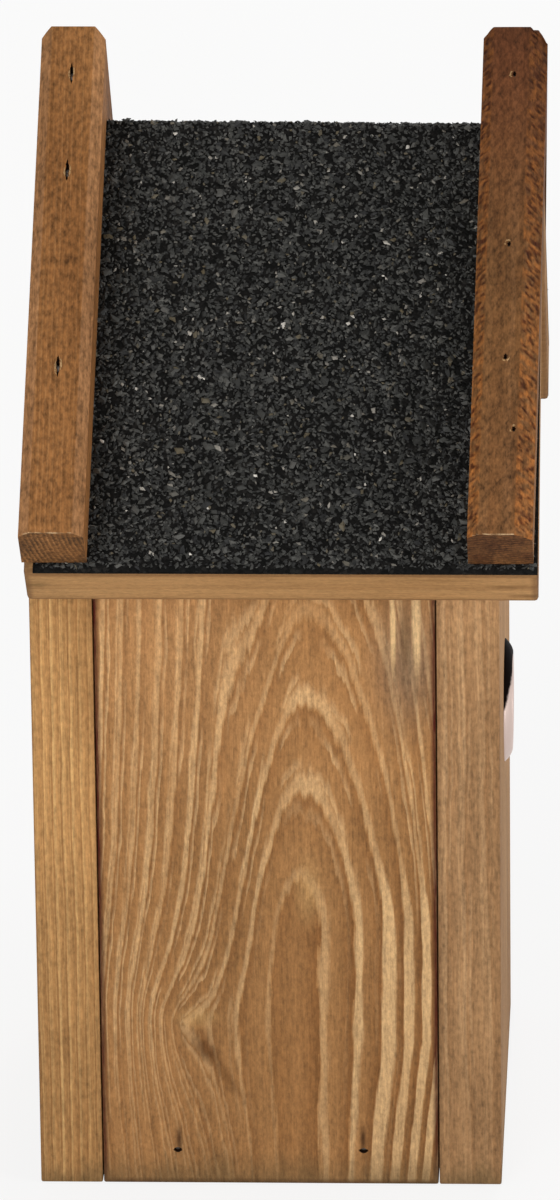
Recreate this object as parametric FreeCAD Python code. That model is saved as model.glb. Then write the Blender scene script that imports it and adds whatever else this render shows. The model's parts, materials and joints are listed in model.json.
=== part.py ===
import FreeCAD, Part
import math
import os

# Bird nest box: a house-shaped box of stained boards under a felted gable roof.
# +X is the front, -Y the fixed side panel, +Y the swing-out side panel, +Z up.
# The origin is the centre of the underside. Millimetres.

# Boards
board = 18.0
body_depth = 134.0
body_width = 136.0
floor_clip = 10.0

# Roof
ridge_height = 300.0
roof_pitch = 45.0
roof_slope = 141.0
roof_length = 144.5
roof_back_inset = 1.0
felt = 2.0

# Battens
batten_width = 18.3
batten_thick = 19.5
batten_chamfer = 3.0
batten_setback = 2.5
batten_back_inset = 0.3
batten_front_inset = 0.0
batten_back_lean = 0.8
batten_front_lean = 1.2

# Entrance hole and its metal guard
hole_radius = 14.0
hole_height = 125.0
guard_wall = 1.0
guard_flange = 4.0
guard_dome = 2.5
guard_clearance = 0.05

# Wall fixing holes in the back board
fixing_radius = 2.5
fixing_spacing = 90.0

# Swing-out side panel
panel_side_gap = 0.8
panel_floor_gap = 0.5
panel_bottom_gap = 1.5
panel_top_gap = 3.0
panel_swing_clear = 5.0
pivot_radius = 1.5
pivot_length = 40.0
pivot_head_radius = 3.2
pivot_clearance = 0.05

# Turn button
button_thick = 2.0
button_width = 12.0
button_reach = 20.0
button_height = 42.0
button_clearance = 0.05
button_gap = 0.1
washer_thick = 1.0
washer_radius = 4.5
screw_radius = 2.0
screw_length = 22.0
screw_head_radius = 3.8
screw_head_height = 2.4
screw_slot_width = 0.9
screw_slot_depth = 1.0

# Wire nails
nail_radius = 0.8
nail_head_radius = 1.3
nail_head_thick = 0.8
nail_sink = 0.6
nail_clearance = 0.03
nail_bite = 20.0
floor_nail_height = 10.5
floor_nail_inset = 22.0
end_nail_inset = 25.0
side_nail_low = 40.0
side_nail_pitch = 66.0
side_nail_count = 3
roof_nail_first = 50.0
roof_nail_pitch = 62.0
roof_nail_count = 2
batten_nail_bite = 12.5
mitre_nail_rise = 6.3
mitre_nail_offset = 5.0
back_nail_upper = 24.6
back_nail_lower = 86.6
front_nail_upper = 47.8
front_nail_middle = 83.3
front_nail_lower = 105.8
front_nail_stray = 3.0

# Worked-out sizes
pitch = math.radians(roof_pitch)
front_x = body_depth / 2
back_x = -body_depth / 2
side_y = body_width / 2
inner_x = front_x - board
inner_y = side_y - board
gable_top = ridge_height - board / math.cos(pitch)
wall_top = gable_top - side_y * math.tan(pitch)
roof_back = back_x + roof_back_inset
roof_front = roof_back + roof_length
eave_z = ridge_height - roof_slope * math.sin(pitch) - board * math.cos(pitch)
felt_top = ridge_height + felt / math.cos(pitch)
panel_y = side_y - board / 2
pivot_z = min(eave_z, wall_top) - board / 2 - panel_swing_clear
button_x = front_x - board / 2
up = FreeCAD.Vector(0, 0, 1)


def vec(x, y, z):
    return FreeCAD.Vector(x, y, z)


def prism_along_x(points, x_from, x_to):
    # closed outline of (y, z) points, run along X
    wire = Part.makePolygon([vec(x_from, y, z) for y, z in points + points[:1]])
    return Part.Face(wire).extrude(vec(x_to - x_from, 0, 0))


def box_between(low, high):
    size = high - low
    return Part.makeBox(size.x, size.y, size.z, low)


def slope_point(x, along, above, side):
    # a point of the roof: distance down the slope from the ridge, height above the boards
    y = along * math.cos(pitch) + above * math.sin(pitch)
    z = ridge_height - along * math.sin(pitch) + above * math.cos(pitch)
    return vec(x, side * y, z)


def slope_normal(side):
    return vec(0, side * math.sin(pitch), math.cos(pitch))


def ridge_side(side):
    # everything on one side of the vertical plane through the ridge
    size = ridge_height + roof_slope + roof_length
    low_y = 0 if side > 0 else -size
    return Part.makeBox(2 * size, size, 2 * size, vec(-size, low_y, -size))


def make_nail(nail, radius=nail_radius, head_radius=nail_head_radius):
    # flat-headed wire nail: surface point, driving direction and length
    point, into, length = nail
    head_at = point + into * nail_sink
    head = Part.makeCylinder(head_radius, nail_head_thick, head_at, into)
    shank_at = head_at + into * nail_head_thick
    shank = Part.makeCylinder(radius, length - nail_head_thick, shank_at, into)
    return head.fuse(shank).removeSplitter()


def nail_hole(nail, radius=nail_radius, head_radius=nail_head_radius, clearance=nail_clearance):
    point, into, length = nail
    head_depth = nail_sink + nail_head_thick
    head = Part.makeCylinder(head_radius + clearance, head_depth, point, into)
    shank_depth = nail_sink + length + clearance
    shank = Part.makeCylinder(radius + clearance, shank_depth, point, into)
    return head.fuse(shank)


def floor_nails():
    length = board + nail_bite
    nails = []
    side_x = inner_x - floor_nail_inset
    end_y = inner_y - end_nail_inset
    for x in (-side_x, side_x):
        nails.append((vec(x, -side_y, floor_nail_height), vec(0, 1, 0), length))
    for y in (-end_y, end_y):
        nails.append((vec(front_x, y, floor_nail_height), vec(-1, 0, 0), length))
        nails.append((vec(back_x, y, floor_nail_height), vec(1, 0, 0), length))
    return nails


def side_nails():
    length = board + nail_bite
    nails = []
    for row in range(side_nail_count):
        z = side_nail_low + row * side_nail_pitch
        nails.append((vec(front_x, -panel_y, z), vec(-1, 0, 0), length))
        nails.append((vec(back_x, -panel_y, z), vec(1, 0, 0), length))
    return nails


def roof_nails():
    length = board + nail_bite
    nails = []
    for side in (-1, 1):
        for x in (back_x + board / 2, front_x - board / 2):
            for row in range(roof_nail_count):
                along = roof_nail_first + row * roof_nail_pitch
                point = slope_point(x, along, 0, side)
                nails.append((point, -slope_normal(side), length))
    return nails


def batten_span(end):
    # X limits of the battens at the back or the front edge of the roof
    if end == "back":
        low = roof_back + batten_back_inset
    else:
        low = roof_front - batten_front_inset - batten_width
    return low, low + batten_width


def batten_shift(end, along):
    # nailed on a little out of true: each batten leans to the front from eave to ridge
    lean = batten_back_lean if end == "back" else batten_front_lean
    return lean * (1 - 2 * along / roof_slope)


def batten_nails():
    # distances down the slope, and strays off the middle line
    # the first nail of each batten crosses the mitre into its twin
    back = ((-mitre_nail_rise, 0), (back_nail_upper, 0), (back_nail_lower, 0))
    front = ((-mitre_nail_rise, 0), (front_nail_upper, 0), (front_nail_middle, 0))
    stations = {"back": back, "front": front + ((front_nail_lower, front_nail_stray),)}
    length = batten_thick + felt + batten_nail_bite
    nails = []
    for side in (-1, 1):
        for end in stations:
            middle = sum(batten_span(end)) / 2
            for along, stray in stations[end]:
                x = middle + stray + batten_shift(end, along)
                if side > 0 and along < 0:
                    x += mitre_nail_offset
                point = slope_point(x, along, felt + batten_thick, side)
                nails.append((point, -slope_normal(side), length))
    return nails


def nail_group(nails):
    return Part.makeCompound([make_nail(nail) for nail in nails])


def nail_holes(nails):
    return [nail_hole(nail) for nail in nails]


def house_board(x_from, x_to):
    points = [(-side_y, 0), (side_y, 0), (side_y, wall_top), (0, gable_top), (-side_y, wall_top)]
    return prism_along_x(points, x_from, x_to)


def pivot_nails():
    front = (vec(front_x, panel_y, pivot_z), vec(-1, 0, 0), pivot_length)
    back = (vec(back_x, panel_y, pivot_z), vec(1, 0, 0), pivot_length)
    return [front, back]


def pivot_holes(clearance):
    return [nail_hole(nail, pivot_radius, pivot_head_radius, clearance) for nail in pivot_nails()]


def make_back_board():
    shape = house_board(back_x, back_x + board)
    for step in (-0.5, 0.5):
        start = vec(back_x, 0, hole_height + step * fixing_spacing)
        shape = shape.cut(Part.makeCylinder(fixing_radius, board, start, vec(1, 0, 0)))
    shape = shape.cut(pivot_holes(nail_clearance))
    return shape.cut(nail_holes(floor_nails() + side_nails() + roof_nails()))


def make_front_board():
    shape = house_board(front_x - board, front_x)
    start = vec(front_x - board, 0, hole_height)
    shape = shape.cut(Part.makeCylinder(hole_radius, board, start, vec(1, 0, 0)))
    shape = shape.cut(pivot_holes(nail_clearance))
    shape = shape.cut(screw_hole(nail_clearance))
    return shape.cut(nail_holes(floor_nails() + side_nails() + roof_nails()))


def make_fixed_side():
    # bevelled at the top to seat under the roof board
    rise = board * math.tan(pitch)
    points = [(-side_y, 0), (-inner_y, 0), (-inner_y, wall_top + rise), (-side_y, wall_top)]
    shape = prism_along_x(points, -inner_x, inner_x)
    return shape.cut(nail_holes(floor_nails() + side_nails()))


def make_swing_side():
    # hangs between the front and back boards on the two pivot nails
    half_length = inner_x - panel_side_gap
    low = vec(-half_length, inner_y, panel_bottom_gap)
    high = vec(half_length, side_y, wall_top - panel_top_gap)
    return box_between(low, high).cut(pivot_holes(pivot_clearance))


def make_floor_board():
    x, y_near, y_far = inner_x, -inner_y, inner_y - panel_floor_gap
    clip = floor_clip
    outline = [(-x + clip, y_near), (x - clip, y_near), (x, y_near + clip), (x, y_far - clip)]
    outline += [(x - clip, y_far), (-x + clip, y_far), (-x, y_far - clip), (-x, y_near + clip)]
    wire = Part.makePolygon([vec(px, py, 0) for px, py in outline + outline[:1]])
    shape = Part.Face(wire).extrude(up * board)
    return shape.cut(nail_holes(floor_nails()))


def make_roof_board(side):
    # mitred at the ridge, square-cut at the eave
    points = []
    for along, above in ((0, 0), (roof_slope, 0), (roof_slope, -board)):
        corner = slope_point(0, along, above, side)
        points.append((corner.y, corner.z))
    points.append((0, gable_top))
    shape = prism_along_x(points, roof_back, roof_front)
    return shape.cut(nail_holes(roof_nails() + batten_nails()))


def make_roof_felt():
    # one sheet folded over the ridge, trimmed flush with the boards
    points = [(0, ridge_height)]
    for side, levels in ((1, (0, felt)), (-1, (felt, 0))):
        for above in levels:
            corner = slope_point(0, roof_slope, above, side)
            points.append((corner.y, corner.z))
        if side == 1:
            points.append((0, felt_top))
    shape = prism_along_x(points, roof_back, roof_front)
    return shape.cut(nail_holes(batten_nails()))


def make_batten(end, side):
    # chamfered along its upper edges and mitred against its twin at the ridge
    low, high = batten_span(end)
    base = felt
    top = felt + batten_thick
    bevel = batten_chamfer
    section = [(low, base), (high, base), (high, top - bevel), (high - bevel, top)]
    section += [(low + bevel, top), (low, top - bevel)]
    start = -top * math.tan(pitch)
    finish = roof_slope - batten_setback
    shift = batten_shift(end, start)
    corners = [slope_point(x + shift, start, above, side) for x, above in section]
    head = slope_point(shift, start, 0, side)
    run = slope_point(batten_shift(end, finish), finish, 0, side) - head
    shape = Part.Face(Part.makePolygon(corners + corners[:1])).extrude(run)
    return shape.common(ridge_side(side)).cut(nail_holes(batten_nails()))


def make_hole_guard():
    # sleeve through the front board with a half-round flange on the outer face
    outer = hole_radius - guard_clearance
    inner = outer - guard_wall
    rim = hole_radius + guard_flange
    middle = (inner + rim) / 2
    inside = front_x - board

    def at(x, radius):
        return vec(x, 0, hole_height + radius)

    edges = [Part.makeLine(at(front_x, outer), at(inside, outer))]
    edges.append(Part.makeLine(at(inside, outer), at(inside, inner)))
    edges.append(Part.makeLine(at(inside, inner), at(front_x, inner)))
    crown = at(front_x + guard_dome, middle)
    edges.append(Part.Arc(at(front_x, inner), crown, at(front_x, rim)).toShape())
    edges.append(Part.makeLine(at(front_x, rim), at(front_x, outer)))
    face = Part.Face(Part.Wire(edges))
    return face.revolve(vec(0, 0, hole_height), vec(1, 0, 0), 360)


def make_pivot_nails():
    nails = [make_nail(nail, pivot_radius, pivot_head_radius) for nail in pivot_nails()]
    return Part.makeCompound(nails)


def screw_hole(clearance):
    start = vec(button_x, side_y, button_height)
    return Part.makeCylinder(screw_radius + clearance, screw_length, start, vec(0, -1, 0))


def make_turn_button():
    # flat bar with round ends, pivoted near its upper end and hanging down at rest
    half = button_width / 2
    y_from = side_y + button_gap
    through = vec(0, button_thick, 0)
    top = vec(button_x, y_from, button_height)
    tip = vec(button_x, y_from, button_height - button_reach)
    bar_low = vec(button_x - half, y_from, button_height - button_reach)
    bar = box_between(bar_low, vec(button_x + half, y_from + button_thick, button_height))
    ends = [Part.makeCylinder(half, button_thick, at, through) for at in (top, tip)]
    shape = bar.fuse(ends).removeSplitter()
    bore = Part.makeCylinder(screw_radius + button_clearance, button_thick, top, through)
    return shape.cut(bore)


def make_button_washer():
    start = vec(button_x, side_y + button_gap * 2 + button_thick, button_height)
    along = vec(0, 1, 0)
    ring = Part.makeCylinder(washer_radius, washer_thick, start, along)
    return ring.cut(Part.makeCylinder(screw_radius + button_clearance, washer_thick, start, along))


def make_button_screw():
    # slotted round head seated on the washer
    along = vec(0, 1, 0)
    seat = vec(button_x, side_y + button_gap * 2 + button_thick + washer_thick, button_height)
    shank_start = vec(button_x, side_y - screw_length + nail_clearance, button_height)
    shank = Part.makeCylinder(screw_radius, (seat - shank_start).y, shank_start, along)
    ball_radius = (screw_head_radius ** 2 + screw_head_height ** 2) / (2 * screw_head_height)
    ball_centre = seat + along * (screw_head_height - ball_radius)
    ball = Part.makeSphere(ball_radius, ball_centre)
    head = ball.common(Part.makeCylinder(screw_head_radius, screw_head_height, seat, along))
    crown = seat + along * screw_head_height
    slot_low = crown - vec(screw_head_radius, screw_slot_depth, screw_slot_width / 2)
    slot_high = crown + vec(screw_head_radius, 0, screw_slot_width / 2)
    return shank.fuse(head).removeSplitter().cut(box_between(slot_low, slot_high))


def make_parts():
    parts = {
        "back_board": make_back_board(),
        "front_board": make_front_board(),
        "fixed_side": make_fixed_side(),
        "swing_side": make_swing_side(),
        "floor_board": make_floor_board(),
        "roof_near": make_roof_board(-1),
        "roof_far": make_roof_board(1),
        "roof_felt": make_roof_felt(),
        "hole_guard": make_hole_guard(),
        "batten_nails": nail_group(batten_nails()),
        "roof_nails": nail_group(roof_nails()),
        "side_nails": nail_group(side_nails()),
        "floor_nails": nail_group(floor_nails()),
        "pivot_nails": make_pivot_nails(),
        "turn_button": make_turn_button(),
        "button_washer": make_button_washer(),
        "button_screw": make_button_screw(),
    }
    for end in ("back", "front"):
        parts["batten_" + end + "_near"] = make_batten(end, -1)
        parts["batten_" + end + "_far"] = make_batten(end, 1)
    return parts


os.makedirs("parts", exist_ok=True)
for name, shape in make_parts().items():
    shape.exportStep("parts/" + name + ".step")
    print(name, len(shape.Solids), "solids", round(shape.Volume), "mm3")
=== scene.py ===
import bpy, bmesh, functools, json, math, random
from mathutils import Matrix, Vector, noise


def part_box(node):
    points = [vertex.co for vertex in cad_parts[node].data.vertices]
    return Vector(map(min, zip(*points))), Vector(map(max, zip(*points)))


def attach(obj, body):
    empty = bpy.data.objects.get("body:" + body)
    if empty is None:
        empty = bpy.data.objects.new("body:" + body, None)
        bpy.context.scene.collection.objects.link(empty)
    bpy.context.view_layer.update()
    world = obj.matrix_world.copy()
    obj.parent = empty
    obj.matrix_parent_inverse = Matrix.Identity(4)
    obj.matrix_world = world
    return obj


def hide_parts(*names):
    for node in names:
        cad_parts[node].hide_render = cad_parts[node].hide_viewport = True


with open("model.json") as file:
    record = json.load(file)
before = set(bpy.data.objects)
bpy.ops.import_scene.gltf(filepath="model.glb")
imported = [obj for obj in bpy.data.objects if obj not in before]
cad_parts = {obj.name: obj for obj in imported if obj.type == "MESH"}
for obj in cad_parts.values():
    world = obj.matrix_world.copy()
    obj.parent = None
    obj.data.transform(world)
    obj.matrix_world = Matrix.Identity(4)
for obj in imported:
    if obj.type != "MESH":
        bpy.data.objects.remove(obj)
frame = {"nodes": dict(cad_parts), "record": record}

mm = 0.001
pitch = math.radians(45)        # both roof slopes
scene = bpy.context.scene
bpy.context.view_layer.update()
print("frame loaded,", len(frame["nodes"]), "nodes")


def hexToLinear(text):
    parts = [int(text[i:i + 2], 16) / 255 for i in (1, 3, 5)]
    return tuple(p / 12.92 if p <= 0.04045 else ((p + 0.055) / 1.055) ** 2.4 for p in parts) + (1.0,)


def addNode(tree, kind, *values, named=None, stops=(), **settings):
    # values fill the sockets in use in their order, named ones by name; a node stands for its first output
    # and a hex text for its colour; stops are a ramp's (place, hex) pairs
    node = tree.nodes.new("ShaderNode" + kind)
    for key, value in settings.items():
        setattr(node, key, value)
    pairs = list(zip([s for s in node.inputs if s.enabled], values))
    pairs += [(node.inputs[key], value) for key, value in (named or {}).items()]
    for socket, value in pairs:
        if isinstance(value, bpy.types.Node):
            value = next(s for s in value.outputs if s.enabled)
        if isinstance(value, bpy.types.NodeSocket):
            tree.links.new(value, socket)
        else:
            socket.default_value = hexToLinear(value) if isinstance(value, str) else value
    if stops:
        ramp = node.color_ramp.elements
        while len(ramp) < len(stops):
            ramp.new(1.0)
        for element, (place, colour) in zip(ramp, stops):
            element.position = place
            element.color = hexToLinear(colour)
    return node


def newMaterial(name):
    material = bpy.data.materials.new(name)
    material.use_nodes = True
    material.node_tree.nodes.clear()
    return material, functools.partial(addNode, material.node_tree)


# Stage: camera, lamps, floor

cameraView = dict(
    aim=(1.5, 0, 155.8),        # mm, the point the lens looks at
    distance=2856,              # mm
    swing=2.63,                 # degrees from the side panel's square-on view towards the front
    height=20.25,               # degrees above the floor
    roll=-0.7,
    lens=293.6,                 # mm, on the 36 mm long side
)
lamps = dict(
    key=dict(at=(-900, -2600, 700), size=1500, watts=38),
    fill=dict(at=(2100, -900, 700), size=1300, watts=20),
    back=dict(at=(300, 2200, 1800), size=1500, watts=24),
)
lampAim = Vector((0, 0, 150)) * mm
sky = 0.38        # world light
floorLook = dict(colour="#f1f0ee", glow=0.84, reach=6.0, drop=0.2)        # reach in metres, drop in mm


def makeCamera(view):
    swing, height = math.radians(view["swing"]), math.radians(view["height"])
    back = Vector((math.sin(swing) * math.cos(height), -math.cos(swing) * math.cos(height), math.sin(height)))
    camera = bpy.data.objects.new("camera", bpy.data.cameras.new("camera"))
    camera.data.lens = view["lens"]
    camera.data.clip_end = 100
    aim = Vector(view["aim"]) * mm
    turn = (-back).to_track_quat("-Z", "Y").to_matrix() @ Matrix.Rotation(math.radians(view["roll"]), 3, "Z")
    camera.matrix_world = Matrix.Translation(aim + back * view["distance"] * mm) @ turn.to_4x4()
    scene.collection.objects.link(camera)
    scene.camera = camera


def makeLamps():
    for name, look in lamps.items():
        lamp = bpy.data.lights.new(name + "Lamp", "AREA")
        lamp.shape = "DISK"
        lamp.size = look["size"] * mm
        lamp.energy = look["watts"]
        holder = bpy.data.objects.new(name + "Lamp", lamp)
        holder.location = Vector(look["at"]) * mm
        holder.rotation_euler = (lampAim - holder.location).to_track_quat("-Z", "Y").to_euler()
        scene.collection.objects.link(holder)


def seenDirectly(add):
    # 1 for what the camera sees, also in a mirror or through glass
    path = add("LightPath").outputs
    seen = add("Math", path["Is Camera Ray"], path["Is Glossy Ray"], operation="MAXIMUM")
    return add("Math", seen, path["Is Transmission Ray"], operation="MAXIMUM")


def makeWorld():
    world = bpy.data.worlds.new("studio")
    world.use_nodes = True
    scene.world = world
    world.node_tree.nodes.clear()
    add = functools.partial(addNode, world.node_tree)
    level = add("MapRange", seenDirectly(add), 0, 1, sky, 1)
    light = add("Background", (1, 1, 1, 1), level)
    add("OutputWorld", light)


def makeFloor(look):
    # matte paint that keeps the shadow, with a glow that only the eye sees
    material, add = newMaterial("matte white floor paint")
    share = add("Math", seenDirectly(add), look["glow"], operation="MULTIPLY")
    paint = add("BsdfDiffuse", look["colour"])
    white = add("Emission", (1, 1, 1, 1), 1.0)
    mixed = add("MixShader", share, paint, white)
    add("OutputMaterial", mixed)
    reach, drop = look["reach"], look["drop"] * mm
    corners = ((-reach, -reach), (reach, -reach), (reach, reach), (-reach, reach))
    bm = bmesh.new()
    bm.faces.new([bm.verts.new((x, y, -drop)) for x, y in corners])
    mesh = bpy.data.meshes.new("floor")
    bm.to_mesh(mesh)
    bm.free()
    mesh.materials.append(material)
    floor = bpy.data.objects.new("floor", mesh)
    scene.collection.objects.link(floor)


makeCamera(cameraView)
makeLamps()
makeWorld()
makeFloor(floorLook)
print("stage set")


# Materials

def finishSurface(add, height, strength, depth, sockets, invert=False):
    # bump of a depth in mm, shader and output
    bump = add("Bump", named={"Height": height, "Strength": strength, "Distance": depth * mm}, invert=invert)
    shader = add("BsdfPrincipled", named={**sockets, "Normal": bump})
    add("OutputMaterial", shader)


smooth = dict(interpolation_type="SMOOTHSTEP")
waveCell = (40, 40, 150)        # mm, waves in which the rings wander
# patterns drawn out along the fibres: mm across, mm along, detail, roughness, shift of the seed
grainCells = dict(
    feather=(1.33333, 14.2857, 2, 0.5, 0),        # ragged lines where the plane tore them
    patch=(7, 40, 2, 0.5, 6),                     # where the pale lines come and go
    fine=(0.5, 5.55556, 2, 0.6, 0),               # fibres; real ones are finer and would not show
    streak=(1.17647, 30.30303, 3, 0.6, 0),        # bundles of fibres
    blot=(30, 75, 3, 0.5, 3),                     # slow blotches of the stain
)
sawCell = dict(size=(1.2, 3.0, 10.0), lean=33)        # mm and degrees, scratches of a saw blade


def stainedPine(name, look):
    # planed pine under a thin brown stain: the hard latewood takes less of it and stays as pale lines,
    # the soft wood between shows fine darker fibres, and there is hardly any gloss
    material, add = newMaterial(name)
    seed = look["seed"]
    coords = add("TexCoord").outputs
    # from here on in mm, with Z along the fibres
    grain = add("Mapping", coords["Object"], (0, 0, 0), look["turn"], (1 / mm, 1 / mm, 1 / mm))
    waves = add("VectorMath", grain, [1 / size for size in waveCell], operation="MULTIPLY")
    wander = add("TexNoise", waves, seed, 1, 4, 0.55, noise_dimensions="4D")
    wander = add("VectorMath", wander.outputs["Color"], (0.5, 0.5, 0.5), operation="SUBTRACT")
    wander = add("VectorMath", wander, look["wander"], operation="SCALE")
    bent = add("VectorMath", grain, wander, operation="ADD")
    x, y, z = add("SeparateXYZ", bent).outputs
    cells = []
    for wide, long, detail, rough, shift in grainCells.values():
        space = add("VectorMath", bent, (1 / wide, 1 / wide, 1 / long), operation="MULTIPLY")
        if shift:
            cells.append(add("TexNoise", space, seed + shift, 1, detail, rough, noise_dimensions="4D"))
        else:
            cells.append(add("TexNoise", space, 1, detail, rough))
    feather, patch, fine, streak, blot = cells
    patchA, patchB, patchC = add("SeparateColor", patch.outputs["Color"]).outputs

    # the year rings, counted from the pith
    across = add("Math", x, look["pith"][0], operation="SUBTRACT")
    if "knot" in look:        # the fibres lean round an overgrown knot
        knot = look["knot"]
        sideways = add("Math", x, knot["at"][0], operation="SUBTRACT")
        sideways = add("Math", sideways, knot["wide"], operation="DIVIDE")
        rising = add("Math", z, knot["at"][1], operation="SUBTRACT")
        over = add("Math", rising, 0, operation="MAXIMUM")
        over = add("Math", over, knot["above"], operation="DIVIDE")
        under = add("Math", rising, 0, operation="MINIMUM")
        rising = add("Math", under, 1 / knot["below"], over, operation="MULTIPLY_ADD")
        away = add("CombineXYZ", sideways, rising)
        away = add("VectorMath", away, operation="LENGTH")
        away = add("Math", away, -1, operation="MULTIPLY")
        knotNear = add("Math", away, operation="EXPONENT")
        across = add("Math", knotNear, knot["push"], across, operation="MULTIPLY_ADD")
    # above archStart the pith leans away and the trunk tapers, which closes the rings into arches
    rise = add("Math", z, look["archStart"], operation="SUBTRACT")
    bow = add("Math", rise, rise, look["archRound"] ** 2, operation="MULTIPLY_ADD")
    bow = add("Math", bow, operation="SQRT")
    rise = add("Math", rise, bow, operation="ADD")        # twice the height above the start
    deep = add("Math", y, look["pith"][1], operation="SUBTRACT")
    if "pithLean" in look:
        near = add("MapRange", across, *look["leanSpan"], 0, look["pithLean"] / 2, **smooth)
        deep = add("Math", rise, near, deep, operation="MULTIPLY_ADD")
    flat = add("CombineXYZ", across, deep)
    radius = add("VectorMath", flat, operation="LENGTH")
    right = add("MapRange", across, *look["rightSpan"], **smooth)
    gapLeft, gapRight = look["ringGap"]
    gap = add("Math", right, gapRight - gapLeft, gapLeft, operation="MULTIPLY_ADD")
    ring = add("Math", radius, gap, operation="DIVIDE")
    # the taper shows less far to the left
    taper = 1 / look["arch"] / 2
    lean = add("MapRange", across, *look["taperSpan"], look["leftLean"] * taper, taper)
    # years get thinner towards the right, and lean in at the foot
    crowd = add("Math", across, look["crowdFrom"], operation="SUBTRACT")
    crowd = add("Math", crowd, 0, operation="MAXIMUM")
    crowd = add("Math", crowd, 2, operation="POWER")
    footTop, footFrom = look["foot"]
    under = add("Math", footTop, z, operation="SUBTRACT")
    under = add("Math", under, 0, operation="MAXIMUM")
    outer = add("Math", across, footFrom, operation="SUBTRACT")
    outer = add("Math", outer, 0, operation="MAXIMUM")
    under = add("Math", under, outer, operation="MULTIPLY")
    shifts = ((rise, lean), (crowd, look["crowd"]), (under, look["footLean"]), (feather, look["feather"]))
    for part, share in shifts:
        ring = add("Math", part, share, ring, operation="MULTIPLY_ADD")
    ring = add("Math", ring, look["phase"] - look["feather"] / 2, operation="ADD")
    phase = add("Math", ring, operation="FRACT")
    number = add("Math", ring, operation="FLOOR")
    number = add("Math", number, seed, operation="ADD")
    luck = add("TexWhiteNoise", number, noise_dimensions="1D")

    # latewood: a line with one sharp side, broad where the rings were cut flat
    low = add("MapRange", z, look["broadTop"], look["broadTop"] - look["broadDrop"], **smooth)
    broadFrom = look["broadFrom"]
    broad = add("MapRange", across, broadFrom, broadFrom + look["broadSpan"], **smooth)
    broad = add("Math", broad, low, operation="MULTIPLY")
    outermost = add("MapRange", across, *(broadFrom + edge for edge in look["outerSpan"]), **smooth)
    outermost = add("Math", outermost, low, operation="MULTIPLY")
    aside = add("MapRange", across, *look["paleSpan"], look["leftPale"], 1)
    faint = add("MapRange", z, *look["faintSpan"], look["faintLeast"], 1, **smooth)
    faint = add("Math", faint, right, operation="MAXIMUM")        # lines fade at the foot on the left
    aside = add("Math", aside, faint, operation="MULTIPLY")
    wide = look["lateWide"]
    for part, share in ((broad, 0.08), (outermost, 0.3), (luck, 0.1)):
        wide = add("Math", part, share, wide, operation="MULTIPLY_ADD")
    wide = add("Math", wide, aside, operation="MULTIPLY")
    # share of the line before it fades
    soft = add("Math", outermost, 0.22, 0.53, operation="MULTIPLY_ADD")
    soft = add("Math", soft, wide, operation="MULTIPLY")
    sharp = add("MapRange", phase, 0, 0.09, **smooth)
    fading = add("MapRange", phase, soft, wide, 1, 0, **smooth)
    late = add("Math", sharp, fading, operation="MULTIPLY")
    strong = add("MapRange", patchA, 0.33, 0.63, 0.55, 1.15)
    weight = add("Math", luck, look["lateSpread"], look["latePale"], operation="MULTIPLY_ADD")
    for part in (strong, aside):
        weight = add("Math", weight, part, operation="MULTIPLY")
    for part, share in ((broad, look["broadPale"]), (outermost, 0.2)):
        weight = add("Math", part, share, weight, operation="MULTIPLY_ADD")
    pale = add("Math", late, weight, operation="MULTIPLY")
    # thinner lines between them, which fade in and out
    halves = add("Math", ring, 2, patchB, operation="MULTIPLY_ADD")
    halves = add("Math", halves, operation="FRACT")
    second = add("MapRange", halves, 0, 0.08, **smooth)
    fading = add("MapRange", halves, 0.12, 0.42, look["between"], 0, **smooth)
    shown = add("MapRange", patchC, 0.38, 0.56, **smooth)
    heart = add("MapRange", radius, look["heart"], look["heart"] + 8, **smooth)
    for part in (fading, shown, heart, faint):
        second = add("Math", second, part, operation="MULTIPLY")
    zone = add("Math", right, low, operation="MULTIPLY")
    left = add("MapRange", zone, 0, 1, 1, look["betweenRight"])
    pale = add("Math", second, left, pale, operation="MULTIPLY_ADD", use_clamp=True)

    # light and dark: fibres, the plane's nap of about 1 mm, the stain's blotches
    fibre = add("Math", fine, streak, operation="ADD")
    napSize = look["napSize"]
    napSpace = add("VectorMath", grain, (1 / napSize, 1 / napSize, 0.55 / napSize), operation="MULTIPLY")
    nap = add("TexNoise", napSpace, 1, 2, 0.7)
    tone = 1 - look["fibre"] - (look["nap"] + look["blot"]) / 2
    for part, key in ((fibre, "fibre"), (nap, "nap"), (blot, "blot")):
        tone = add("Math", part, look[key], tone, operation="MULTIPLY_ADD")
    if "saw" in look:
        slanted = {"Rotation": (0, math.radians(sawCell["lean"]), 0), "Scale": sawCell["size"]}
        sawSpace = add("Mapping", grain, named=slanted, vector_type="TEXTURE")
        saw = add("TexNoise", sawSpace, 1, 2)
        saw = add("Math", saw, 0.5, operation="SUBTRACT")
        tone = add("Math", saw, look["saw"], tone, operation="MULTIPLY_ADD")
    paintedLightRamp = add("MapRange", z, *look["lightRampFrom"], *look["lightRamp"])        # painted light and shade: brighter towards one end, darker towards the other, as the light falls
    tone = add("Math", tone, paintedLightRamp, operation="MULTIPLY")

    # colours over the body of the wood, as (share, colour)
    # each year ripens to a reddish brown before the next line
    ripe = add("Math", broad, 0.25, look["line"], operation="MULTIPLY_ADD")
    ripe = add("MapRange", phase, 0.45, 1, 0, ripe, **smooth)
    layers = [(ripe, look["lineColour"]), (pale, look["late"])]
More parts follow.
